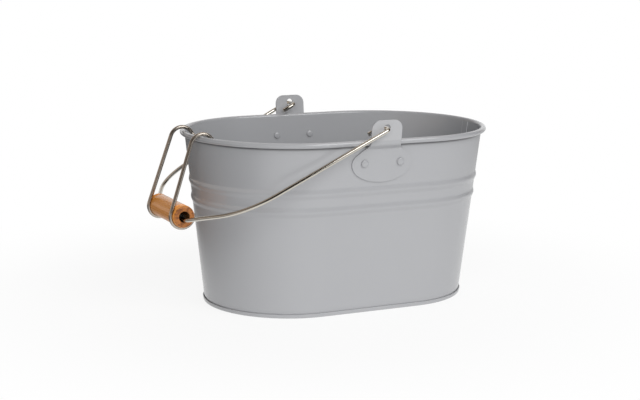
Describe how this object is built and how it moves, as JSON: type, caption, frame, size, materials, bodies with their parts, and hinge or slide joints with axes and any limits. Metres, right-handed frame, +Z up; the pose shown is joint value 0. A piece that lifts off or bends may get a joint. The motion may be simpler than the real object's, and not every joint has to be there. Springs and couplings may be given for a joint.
{
  "type": "peg bucket",
  "caption": "Oval tapered sheet-steel bucket for clothes pegs, with riveted ears, a wire bail, a turned wooden grip and a wire hook that hangs it on a washing line.",
  "frame": {"origin": "on the surface that the hem stands on, under the middle of the whole part with its bail lowered to the left", "axes": "+X along the oval, from the parked grip towards the bare end; +Y across the oval, from the front ear to the back ear; +Z up"},
  "size_m": [0.2848, 0.1912, 0.1566],
  "materials": {
    "grey_paint": "satin grey powder coat on sheet steel",
    "nickel_wire": "nickel-plated steel wire",
    "rim_steel": "plain steel wire, hidden in the rolled rim",
    "grip_wood": "turned hardwood with a thin oil finish"
  },
  "bodies": {
    "bucket": {"bucket_wall": "grey_paint", "rim_wire": "rim_steel", "base_pan": "grey_paint", "ear_front": "grey_paint", "ear_back": "grey_paint", "rivet_front_left": "grey_paint", "rivet_front_right": "grey_paint", "rivet_back_left": "grey_paint", "rivet_back_right": "grey_paint"},
    "bail": {"bail_wire": "nickel_wire"},
    "grip": {"grip": "grip_wood"},
    "hook": {"line_hook": "nickel_wire"}
  },
  "joints": [
    {"name": "bail_swing", "type": "hinge", "parent": "bucket", "child": "bail", "pos_m": [0.01241, 0, 0.14975], "axis": [0, 1, 0], "range_deg": [0, 232]},
    {"name": "grip_spin", "type": "hinge", "parent": "bail", "child": "grip", "pos_m": [-0.13139, 0, 0.08083], "axis": [0, 1, 0], "continuous": true},
    {"name": "hook_swing", "type": "hinge", "parent": "bail", "child": "hook", "pos_m": [-0.13139, 0, 0.08083], "axis": [0, 1, 0], "range_deg": [-232, 0]}
  ],
  "couplings": [
    {"joint": "hook_swing", "follows": "bail_swing", "ratio": -1}
  ]
}
